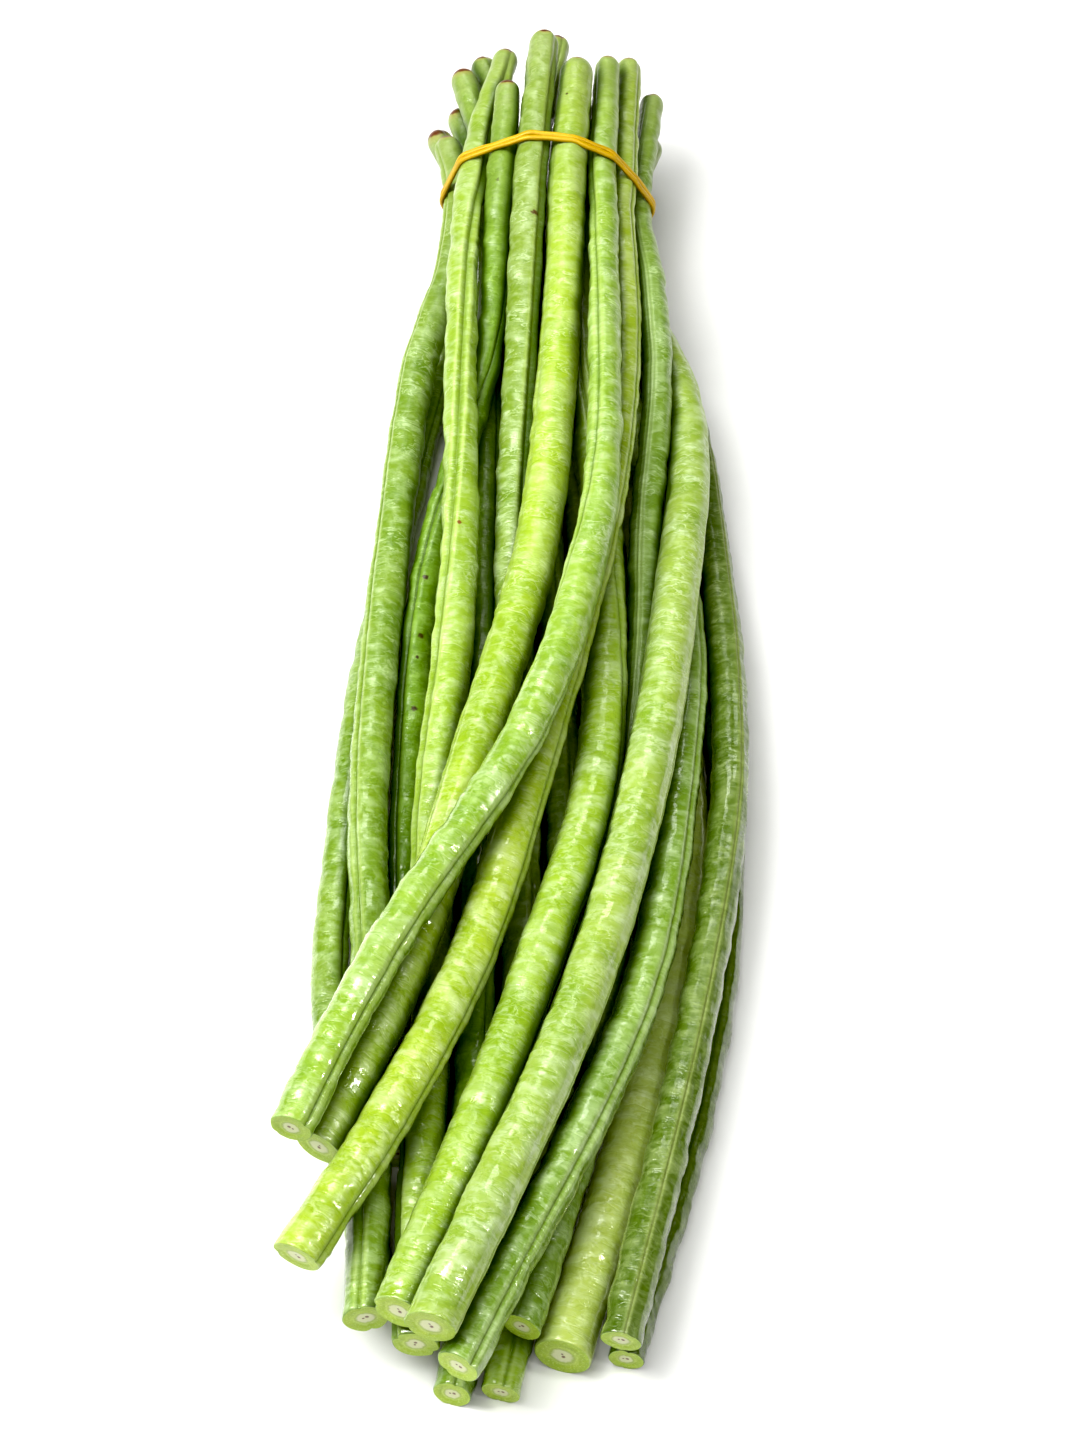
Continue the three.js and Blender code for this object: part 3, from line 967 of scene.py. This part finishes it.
@dataclass
class Pod:
    """One bean pod, built along its solid, which it replaces."""

    node: str
    slot: str
    skin: Skin
    seam: Seam
    turns: Sequence[tuple[float, float]]  # distance below the band and angle of a seam from the top
    marks: Sequence[Mark] = ()
    cap: float = 1.0  # size of the brown scar on its tip
    wet_below: float = 130.0
    row_step: float = 0.62
    columns: int = 56
    tie_y: float = 0.0
    others: Sequence[Course] = ()
    room: Sequence[Sequence[float]] = ((-60, -200, 0), (60, 200, 60))  # the bunch's lowest and highest corner
    grain: Grain = field(init=False)
    course: Course = field(init=False)

    DOME_LENGTH = 1.15
    DOME_ROWS = 16
    FACE = (0.93, 0.88, 0.8, 0.72, 0.66, 0.6, 0.54, 0.47, 0.38, 0.28, 0.18, 0.09, 0.0)
    HOLLOW = ((0, 0.2, 0.45, 0.58, 0.68, 0.9, 0.96), (0.30, 0.24, 0.16, 0.27, 0.06, 0.02, 0.0))
    RIM = ((0.22, 0.992), (0.08, 0.975), (0.0, 0.95))  # distance before the cut, share of the radius
    RIM_START = 0.45
    ROUNDNESS = 0.9  # of the tip, below 1 for a blunter one
    WALLOW = 0.09  # how far a cut leans from square
    LEAN_LENGTH = 6.0  # length of pod that leans with it
    GIVE = 0.6  # how softly the skin is held inside the bunch's box
    INSET = 0.1  # keeps the swellings near the solid's surface
    TIP_FADE = 14.0  # length at the tip over which the relief grows
    SEED_HEIGHT, SEED_SPACING = 0.12, 12.5
    OUTLOOKS = 24  # directions in which the skin looks for its neighbours
    SHADE_REACH = 6.0  # distance at which a neighbour no longer covers the skin
    BUNCHING = 0.30  # how much closer the columns are at the seams
    PLAIN_AT = 100.0  # distance below the band at which the pod's own thickness is read
    SCAR = Mark(1.0, 0.0, 1.1, 1.5, "63291a")

    def __post_init__(self) -> None:
        """Reads the solid's line and picks the pod's own grain."""
        self.grain = Grain(int(self.node[-2:]))
        self.course = Course(self.node)
        self.tie = self.course.where(self.tie_y)

    def build(self) -> bpy.types.Object:
        """Makes the pod's mesh and dresses it.

        Returns:
            The finished piece.
        """
        rows = self._rows()
        turn = self._columns()
        s, share, hollow, face = (np.repeat(values, len(turn)) for values in rows)
        theta = np.tile(turn, len(rows[0]))
        full = self.course.radius(s)
        relief, facts = self._relief(theta, s)
        radius = (full + relief) * share
        centre, run, across, over = (np.repeat(a, len(turn), 0) for a in self.course.frame(rows[0]))
        phi = theta + self._turn_at(s)
        out = across * np.sin(phi)[:, None] + over * np.cos(phi)[:, None]
        way = 1.7 * self.grain.seed
        near_cut = rise(-self.LEAN_LENGTH, 0, s - self.course.length)
        lean = self.WALLOW * (full + radius * np.cos(phi - way)) * near_cut
        place = centre + out * radius[:, None] - run * (hollow + lean)[:, None]
        place = self._held_in(place)
        # how much shade is painted where neighbouring pods cover the skin
        facts["painted_gap_shade"] = self._painted_gap_shade(theta, s)
        facts["straight"] = np.stack([full * share * np.sin(theta), s, full * share * np.cos(theta)], 1)
        facts.update(ring=share, from_tip=s, face=face)
        name = self.node.replace("bean", "pod")
        piece = rolled_sheet(name, len(rows[0]), len(turn), place * MM, facts)
        self._dress(piece)
        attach(piece, "root")
        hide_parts(self.node)
        return piece

    def _painted_gap_shade(self, theta: Array, s: Array) -> Array:
        """Works out how far the neighbouring pods cover the skin, which sets how much shade is painted there.

        Args:
            theta: angle from the first seam, in radians.
            s: distance from the tip, in millimetres.

        Returns:
            0 for open skin, up to 1 in the gaps between pods.
        """
        spacing = self.course.SPACING
        along = np.arange(0, self.course.length + spacing, spacing)
        turn = np.linspace(0, TURN, self.OUTLOOKS + 1)
        centre, _, across, over = self.course.frame(along)
        phi = turn + self._turn_at(along)[:, None]
        out = across[:, None] * np.sin(phi)[..., None] + over[:, None] * np.cos(phi)[..., None]
        skin = centre[:, None] + out * self.course.radius(along)[:, None, None]
        bare = np.ones(phi.shape)
        for other in self.others:
            line, thick = other.samples()
            distance = np.linalg.norm(skin[:, :, None] - line, axis=3)
            nearest = distance.argmin(2)
            distance = distance.min(2)
            facing = np.clip(((line[nearest] - skin) * out).sum(2) / distance, 0, 1)
            bare *= 1 - facing * np.clip(1.2 - (distance - thick[nearest]) / self.SHADE_REACH, 0, 1)
        row, column = np.clip(s, 0, None) / spacing, (theta % TURN) / TURN * self.OUTLOOKS
        i = np.minimum(row.astype(int), len(along) - 2)
        j = np.minimum(column.astype(int), self.OUTLOOKS - 1)
        fi, fj = np.clip(row - i, 0, 1), column - j
        upper = bare[i, j] * (1 - fj) + bare[i, j + 1] * fj
        lower = bare[i + 1, j] * (1 - fj) + bare[i + 1, j + 1] * fj
        return 1 - upper * (1 - fi) - lower * fi

    def _held_in(self, place: Array) -> Array:
        """Flattens the outermost swellings, so that the skin keeps within the bunch's width and height.

        Args:
            place: the skin's points, in millimetres.

        Returns:
            The points, moved inwards by well under a millimetre.
        """
        (low, front, _), (high, back, top) = self.room
        for axis, sign, end in ((0, 1, high), (0, -1, -low), (2, 1, top)):
            past = np.maximum(sign * place[:, axis] - (end - self.GIVE), 0)
            place[:, axis] -= sign * (past - self.GIVE * (1 - np.exp(-past / self.GIVE)))
        hair = 0.01
        place[:, 1] = np.clip(place[:, 1], front + hair, back - hair)
        place[:, 2] = np.maximum(place[:, 2], hair)
        return place

    def _columns(self) -> Array:
        """Angles of the mesh's columns round the pod, closer together at the two seams."""
        even = np.linspace(0, TURN, self.columns + 1)
        return even - self.BUNCHING * np.sin(2 * even)

    def _rows(self) -> tuple[Array, Array, Array, Array]:
        """Lays out the mesh's rows from the tip's pole to the middle of the cut face.

        Returns:
            Distance from the tip, share of the full radius, depth below the cut plane, and 1 for
            rows of the cut face or 0 for the skin.
        """
        length = self.course.length
        dome = self.DOME_LENGTH * float(self.course.radius(np.array([8.0]))[0])
        swing = np.linspace(0, math.pi / 2, self.DOME_ROWS)
        body = np.linspace(dome, length - self.RIM_START, int((length - dome) / self.row_step))[1:]
        before, rim = np.array(self.RIM).T
        at_cut = np.full(len(self.FACE), length)
        along = np.concatenate([dome * (1 - np.cos(swing)), body, length - before, at_cut])
        share = np.concatenate([np.sin(swing) ** self.ROUNDNESS, np.ones(len(body)), rim, self.FACE])
        hollow = np.zeros(len(along))
        hollow[-len(self.FACE) :] = np.interp(self.FACE, *self.HOLLOW)
        face = np.zeros(len(along))
        face[-len(self.FACE) - 1 :] = 1
        return along, share, hollow, face

    def _turn_at(self, s: Array) -> Array:
        """Angle of the first seam from the pod's top.

        Args:
            s: distance from the tip, in millimetres.

        Returns:
            The angle in radians.
        """
        places, turns = zip(*self.turns)
        turns = smooth_line(np.array(places, float) + self.tie, np.array(turns, float)[:, None])
        inside = np.clip(s, places[0] + self.tie, places[-1] + self.tie)
        return np.radians(turns(inside)[:, 0])

    def _seam_relief(self, d: Array, depth: Array) -> tuple[Array, Array, Array]:
        """Shape of the skin beside a seam.

        Args:
            d: distance from the nearest seam, in millimetres.
            depth: makes the seam deeper or shallower along its way.

        Returns:
            The relief in millimetres, and the shares of the furrow's and the lips' colours.
        """
        form = SEAM_FORMS[self.seam]
        steady, varied, furrow, lip = (
            [height * hump(d - away, width) for height, away, width in humps]
            for humps in (form.steady, form.varied, form.furrow, (form.lip,))
        )
        return sum(steady) + sum(varied) * depth, form.blend(furrow, axis=0), lip[0]

    def _relief(self, theta: Array, s: Array) -> tuple[Array, dict[str, Array]]:
        """Works out how the skin stands out from a plain round.

        Args:
            theta: angle from the first seam, in radians.
            s: distance from the tip, in millimetres.

        Returns:
            The relief in millimetres, and the shares that the skin's colours follow.
        """
        at, radius = self.grain.at, self.course.radius(s)
        still = theta * 0
        whole = rise(0, self.TIP_FADE, s)
        warp = sum(at(theta, s, layer) for layer in WARPS)
        seeds = self.SEED_HEIGHT * np.cos(TURN * (s + at(still, s, SEED_DRIFT)) / self.SEED_SPACING)
        on_sides = np.abs(np.sin(theta)) ** 1.5
        bulge = sum(at(theta, s, layer) for layer in SWELLINGS) + seeds * on_sides
        fold = 1 - np.abs(at(theta, s + warp, FOLDS))
        fold *= 0.6 + at(theta, s, FOLD_STRENGTH)
        pucker = at(theta, s + 0.6 * warp, PUCKERS)
        d = np.minimum(np.abs(wrapped(theta)), np.abs(wrapped(theta - math.pi))) * radius
        seam, furrow, lip = self._seam_relief(d, 1 + at(still, s, SEAM_DEPTH))
        calm_by_seam = 1 - 0.75 * hump(d, 1.2)
        damp_from = self.tie + self.wet_below
        damp = rise(damp_from - 20, damp_from + 60, s)
        fold_height, pucker_height = 0.12 + 0.02 * damp, 0.12 - 0.03 * damp
        skin = (bulge + fold_height * fold + pucker_height * pucker) * calm_by_seam
        oval = 0.02 * radius * np.cos(2 * theta)
        dip_at_tip = 0.3 * rise(9, 2, s) * hump(d, 0.9)
        relief = whole * (skin + seam + oval) - self.INSET - dip_at_tip
        facts = {
            "furrow": furrow * (0.3 + 0.7 * whole),
            "lip": lip * whole,
            "height": np.clip(0.5 + 1.6 * bulge, 0, 1),
            "fold": np.clip(0.5 + 0.35 * (fold + 0.8 * pucker), 0, 1),
        }
        return relief, facts

    def _dress(self, piece: bpy.types.Object) -> None:
        """Gives the skin and the cut face their finishes.

        Args:
            piece: the pod's finished shape.
        """
        mesh, name = piece.data, piece.name
        radius = float(self.course.radius(np.array([self.tie + self.PLAIN_AT]))[0])
        marks = []
        for mark in self.marks:
            along = mark.along + self.tie
            turn = mark.turn - math.degrees(float(self._turn_at(np.array([along]))[0]))
            marks.append(replace(mark, along=along, turn=turn))
        on_tip = -math.degrees(float(self._turn_at(np.array([self.SCAR.along]))[0]))
        size = {"length": self.SCAR.length * self.cap, "width": self.SCAR.width * self.cap}
        scar = replace(self.SCAR, turn=on_tip, **size)
        skin = self.skin.material(name + "_skin", radius, marks, scar, self.tie + self.wet_below)
        mesh.materials.append(skin)
        mesh.materials.append(CutFlesh().material(name + "_cut"))
        on_face = np.empty(len(mesh.vertices), np.float32)
        mesh.attributes["face"].data.foreach_get("value", on_face)
        corners = np.empty(len(mesh.loops), np.int32)
        mesh.loops.foreach_get("vertex_index", corners)
        starts = np.empty(len(mesh.polygons), np.int32)
        mesh.polygons.foreach_get("loop_start", starts)
        cut = np.minimum.reduceat(on_face[corners], starts) > 0.5
        mesh.polygons.foreach_set("material_index", cut.astype(np.int32))


# ---- the rubber band ----


@dataclass
class RubberBand:
    """One rubber band wound twice round the necks, as two strands that lie side by side."""

    pods: Sequence[Pod]
    width: float = 1.45
    thick: float = 1.2
    apart: float = 1.42
    gap: float = -0.12
    bearings: int = 1440  # directions in which the loop's outline is worked out
    stations: int = 420
    columns: int = 20
    squareness: float = 0.8  # below 1 for a section with flatter sides
    waves: Sequence[Sequence[float]] = ((0.14, 9, 1), (0.08, 23, 2))  # size, waves in a lap and shift
    lean: float = 0.125  # how far the strands lean to either side

    def _loop(self, y: float) -> tuple[Array, Array]:
        """Tight loop round the necks in a plane across the bunch.

        Args:
            y: place of the plane along the bunch, in millimetres.

        Returns:
            Points across and up, and the loop's outward directions.
        """
        circles = []
        for pod in self.pods:
            s = np.array([pod.course.where(y)])
            centre, run, _, _ = pod.course.frame(s)
            radius = float(pod.course.radius(s)[0]) / abs(run[0, 1]) ** 0.5
            circles.append((centre[0, 0], centre[0, 2], radius))
        x, z, r = np.array(circles).T
        turn = np.linspace(0, TURN, self.bearings + 1)[:-1]
        normal = np.stack([np.sin(turn), np.cos(turn)], 1)
        reach = x * normal[:, :1] + z * normal[:, 1:] + r
        most = reach.argmax(1)
        points = np.stack([x[most], z[most]], 1) + (r[most] + self.gap)[:, None] * normal
        return points, normal

    def build(self) -> bpy.types.Object:
        """Makes both strands as one piece.

        Returns:
            The finished piece.
        """
        strands = [self._strand(side) for side in (-1, 1)]
        whole = bmesh.new()
        for strand in strands:
            whole.from_mesh(strand.data)
        mesh = bpy.data.meshes.new("rubber_strands")
        whole.to_mesh(mesh)
        whole.free()
        for strand in strands:
            bpy.data.objects.remove(strand)
        piece = linked("rubber_strands", mesh)
        mesh.materials.append(Rubber().material("yellow_rubber"))
        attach(piece, "root")
        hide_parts("rubber_band")
        return piece

    def _strand(self, side: int) -> bpy.types.Object:
        """Makes one strand as a closed rolled sheet.

        Args:
            side: -1 for the strand nearer to the cut ends, 1 for the one nearer to the tips.

        Returns:
            The strand.
        """
        points, normal = self._loop(self.pods[0].tie_y)
        closed = np.vstack([points, points[:1]])
        walked = np.concatenate([[0], np.cumsum(np.linalg.norm(np.diff(closed, axis=0), axis=1))])
        even = np.linspace(0, walked[-1], self.stations + 1)
        x, z = (np.interp(even, walked, closed[:, k]) for k in (0, 1))
        nx, nz = (np.interp(even, walked, np.append(normal[:, k], normal[0, k])) for k in (0, 1))
        lap = even / walked[-1] * TURN
        wave = sum(size * np.sin(count * lap + shift * side) for size, count, shift in self.waves)
        rows = len(even)
        turn = np.linspace(0, TURN, self.columns + 1)
        theta = np.tile(turn, rows)
        across = np.sign(np.cos(theta)) * np.abs(np.cos(theta)) ** self.squareness * self.width / 2
        up = np.sign(np.sin(theta)) * np.abs(np.sin(theta)) ** self.squareness * self.thick / 2
        tilt = np.repeat(self.lean * np.sin(5 * lap + side), len(turn))
        dy = across * np.cos(tilt) - up * np.sin(tilt)
        out = across * np.sin(tilt) + up * np.cos(tilt) + self.thick / 2
        x, z, nx, nz, wave, walk = (np.repeat(v, len(turn)) for v in (x, z, nx, nz, wave, even))
        y = self.pods[0].tie_y + side * self.apart / 2 + wave + dy
        place = np.stack([x + nx * out, y, z + nz * out], 1)
        straight = np.stack([across + 5 * side, walk, up], 1)
        # the mask of the painted shade on the strand's inner underside
        facts = {"straight": straight, "painted_underside_shade": rise(0.25, -0.35, up)}
        return rolled_sheet(f"strand{side}", rows, len(turn), place * MM, facts)


# ---- studio ----


@dataclass(frozen=True)
class Softbox:
    """One soft light that faces the bunch: its place and size in metres, and its power in watts."""

    name: str
    place: tuple[float, float, float]
    width: float
    length: float
    power: float


@dataclass
class Studio:
    """Camera, lights and floor."""

    camera_at: tuple[float, float, float] = (0.0306, -0.4907, 0.594)
    aim_at: tuple[float, float, float] = (-0.0006, -0.0116, 0.0)
    lens: float = 82.0
    softboxes: Sequence[Softbox] = (
        Softbox("key", (-0.55, 0.00, 0.84), 0.36, 0.70, 8.6),
        Softbox("left_strip", (-0.70, -0.08, 0.66), 0.05, 0.50, 3.0),
        Softbox("right_strip", (0.58, -0.10, 0.76), 0.03, 0.50, 2.9),
        Softbox("front", (0.10, -0.75, 0.80), 0.40, 0.30, 3.0),
        Softbox("front_right", (0.34, -0.36, 0.90), 0.10, 0.10, 1.5),
        Softbox("back", (-0.10, 0.70, 0.80), 0.45, 0.25, 1.8),
    )
    overhead_at: tuple[float, float, float] = (-0.35, -0.05, 0.93)
    overhead_energy: float = 2.4
    overhead_angle: float = 50.0  # degrees of sky that the overhead light fills
    walls_seen: float = 0.50  # brightness of the walls in the picture
    walls_lit: float = 0.02  # light that they throw on the bunch
    gamma: float = 0.85
    exposure: float = -0.06
    black: tuple[float, float, float] = (0.010, 0.010, 0.020)

    def camera(self) -> None:
        """Places the camera."""
        data = bpy.data.cameras.new("view")
        data.lens = self.lens
        data.sensor_width = 36
        data.clip_start, data.clip_end = 0.01, 20
        camera = linked("view", data)
        camera.location = self.camera_at
        aim = Vector(self.aim_at) - Vector(self.camera_at)
        camera.rotation_mode = "QUATERNION"
        camera.rotation_quaternion = aim.to_track_quat("-Z", "Y")
        bpy.context.scene.camera = camera

    def floor(self) -> None:
        """Lays the floor."""
        sheet = bmesh.new()
        bmesh.ops.create_grid(sheet, x_segments=4, y_segments=4, size=3.0)
        mesh = bpy.data.meshes.new("floor")
        sheet.to_mesh(mesh)
        sheet.free()
        mesh.materials.append(Paper().material())
        floor = linked("floor", mesh)
        floor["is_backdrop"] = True

    def lights(self) -> None:
        """Hangs the soft lights and gives the room pale walls."""
        for box in self.softboxes:
            data = bpy.data.lights.new(box.name, "AREA")
            data.shape = "RECTANGLE"
            data.size, data.size_y = box.width, box.length
            data.energy = box.power
            self._hang(data, box.place)
        overhead = bpy.data.lights.new("overhead", "SUN")
        overhead.energy, overhead.angle = self.overhead_energy, math.radians(self.overhead_angle)
        self._hang(overhead, self.overhead_at)
        self._room()

    def _room(self) -> None:
        """Shows pale walls behind the floor, and sets the picture's tones."""
        world = bpy.data.worlds.new("room")
        world.use_nodes = True
        tree = world.node_tree
        seen = tree.nodes.new("ShaderNodeLightPath").outputs["Is Camera Ray"]
        strength = tree.nodes.new("ShaderNodeMath")
        strength.operation = "MULTIPLY_ADD"
        tree.links.new(seen, strength.inputs[0])
        strength.inputs[1].default_value = self.walls_seen
        strength.inputs[2].default_value = self.walls_lit
        sky = tree.nodes["Background"]
        sky.inputs["Color"].default_value = (1, 1, 1, 1)
        tree.links.new(strength.outputs["Value"], sky.inputs["Strength"])
        bpy.context.scene.world = world
        view = bpy.context.scene.view_settings
        view.view_transform = "Standard"
        view.gamma, view.exposure = self.gamma, self.exposure
        view.use_curve_mapping = True
        view.curve_mapping.black_level = self.black

    def _hang(self, data: bpy.types.Light, place: tuple[float, float, float]) -> None:
        """Hangs a light so that it faces the bunch.

        Args:
            data: the light.
            place: where it hangs, in metres.
        """
        light = linked(data.name, data)
        light.location = place
        light.rotation_mode = "QUATERNION"
        light.rotation_quaternion = (-Vector(place)).to_track_quat("-Z", "Y")


# ---- the bunch ----


SPRING = Skin(body="8ea836", light="c6d3b2", deep="5c7e00", furrow="6a8420")
LEMON = Skin(body="98b036", light="cbd7ae", deep="648800")
APPLE = Skin(body="9bb039", light="cbd5ae", deep="648600")
FRESH = Skin(body="8ca83e", light="c2d1ac", deep="4e7a00", furrow="5a741a", painted_ridge_light=0.6)
GRASS = Skin(body="769030", light="b6c89a", deep="426c00", painted_ridge_light=0.6)
MILKY = Skin(body="799032", light="bacaa0", deep="467000", furrow="6a7e18", painted_ridge_light=0.7)
CREAM = Skin(body="92a849", light="c6d3b2", deep="5a8200", painted_ridge_light=0.6)
# the straw green gets a paler, weaker painted shade between pods
STRAW = Skin(body="a9b862", light="cad6aa", deep="7c9030", gap_shade_colour="7e9832", gap_shade_share=0.35, painted_ridge_light=0.7)
# painted shadow: these two greens are darkened to stand for the shadow a neighbouring bunch casts on the pods
# at the right edge
PAINTED_SHADOW_GREEN = Skin(body="546b1f", light="a2b07a", deep="2c4800", lip="a2ac70", furrow="48540c")
DEEPER_PAINTED_SHADOW_GREEN = Skin(body="485e14", light="7c8c4c", deep="284000", lip="70803c", furrow="36440a")
BLUISH = Skin(body="769236", light="bccea2", deep="446a00", lip="bccf94", painted_ridge_light=0.6)
DARK = Skin(body="66881c", light="98b462", deep="2e5400", furrow="264000", lip="8ca854", specks=0.12)


# distance below the band and angle of the seam from the top, for the pods that twist most
LEFT_CORNER_TURNS = ((-40, 30), (0, 50), (30, 25), (70, 5), (110, -25), (160, -50), (320, -60))
MIDDLE_TURNS = ((-40, 60), (0, 55), (100, 30), (240, 40))
CROSSING_TURNS = ((-38, -60), (20, -45), (60, -25), (110, -35), (150, -70), (200, -110), (285, -130))


def pods() -> list[Pod]:
    """Describes every pod of the bunch, and follows its solid.

    Returns:
        The pods, from the left of the bunch to its right, and then the ones out of sight.
    """
    green, mid, deep, pale = "pod_bright_green", "pod_mid_green", "pod_deep_green", "pod_pale_green"
    return [
        Pod("bean_01", mid, GRASS, Seam.FURROW, ((0, -60), (120, -55), (200, -35), (300, -15))),
        Pod("bean_02", mid, GRASS, Seam.FURROW, ((0, 30), (300, 50)), cap=2.0),
        Pod("bean_03", green, SPRING, Seam.VALLEY, LEFT_CORNER_TURNS, (Mark(116, 0, 0.7, 0.5, "7a4424"),)),
        Pod("bean_04", deep, DARK, Seam.FURROW, ((-20, 90), (30, 70), (80, 10), (270, 0)), specks_marks()),
        Pod("bean_05", deep, DARK, Seam.FURROW, ((0, 60), (280, 30)), cap=1.6),
        Pod("bean_06", green, MILKY, Seam.VALLEY, MIDDLE_TURNS, (Mark(23, 30, 0.7, 1.4),)),
        Pod("bean_07", green, LEMON, Seam.FAINT, ((0, 130), (280, 120)), (Mark(203, 10, 0.5, 0.4),)),
        Pod("bean_08", mid, FRESH, Seam.FURROW, CROSSING_TURNS),
        Pod("bean_09", green, APPLE, Seam.FURROW, ((-40, 60), (300, 70))),
        Pod("bean_10", pale, BLUISH, Seam.DOUBLE, ((-40, -20), (300, -20))),
        Pod("bean_11", green, SPRING, Seam.FURROW, ((-30, -25), (70, -15), (160, 60), (240, 85), (320, 85))),
        Pod("bean_12", pale, CREAM, Seam.RIDGE, ((-30, 85), (320, 80))),
        Pod("bean_13", green, PAINTED_SHADOW_GREEN, Seam.RIDGE, ((-30, 60), (320, 10))),
        Pod("bean_14", deep, BLUISH, Seam.FURROW, ((-30, 60), (320, 40))),
        Pod("bean_15", pale, STRAW, Seam.FAINT, ((-30, 90), (320, 90))),
        Pod("bean_16", mid, DEEPER_PAINTED_SHADOW_GREEN, Seam.FURROW, ((-30, 30), (320, 10))),
        Pod("bean_17", mid, SPRING, Seam.FURROW, ((-30, 30), (320, 10))),
        Pod("bean_18", deep, GRASS, Seam.FURROW, ((-30, 30), (320, 10))),
        Pod("bean_19", mid, GRASS, Seam.FURROW, ((-40, 30), (260, 20))),
        Pod("bean_20", deep, DARK, Seam.FURROW, ((-30, 30), (300, 20)), cap=1.8),
        Pod("bean_21", mid, GRASS, Seam.FURROW, ((-30, 30), (230, 20))),
        Pod("bean_22", deep, DARK, Seam.FURROW, ((-40, 30), (240, 20))),
    ]


def specks_marks() -> tuple[Mark, ...]:
    """The dark dots on the darkest pod: small ones close below the band, larger ones further down.

    Returns:
        The dots.
    """
    small = ((10, -10, 0.6), (15, -25, 0.5), (14, 20, 0.4), (21, 5, 0.35), (26, -15, 0.4), (33, 12, 0.3))
    large = ((125, 0, 0.7), (141, 10, 0.8), (147, 5, 0.5), (161, 7, 0.8))
    return tuple(Mark(along, turn, size, size, "33190a") for along, turn, size in small + large)


def main() -> None:
    """Builds the studio, the pods and the band."""
    logging.basicConfig(level=logging.INFO, format="%(message)s")
    solid_box = [list(corner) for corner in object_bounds()]
    studio = Studio()
    studio.camera()
    studio.floor()
    studio.lights()
    bunch = pods()
    tie_low, tie_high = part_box("rubber_band")
    for pod in bunch:
        pod.tie_y = (tie_low[1] + tie_high[1]) / 2 / MM
        pod.tie = pod.course.where(pod.tie_y)
        pod.room = [[value / MM for value in corner] for corner in solid_box]
        pod.others = [other.course for other in bunch if other is not pod]
        piece = pod.build()
        LOG.info("%s: %.0f mm long, %d faces", piece.name, pod.course.length, len(piece.data.polygons))
    band = RubberBand(bunch).build()
    LOG.info("%s: %d faces", band.name, len(band.data.polygons))


if __name__ == "__main__":
    main()
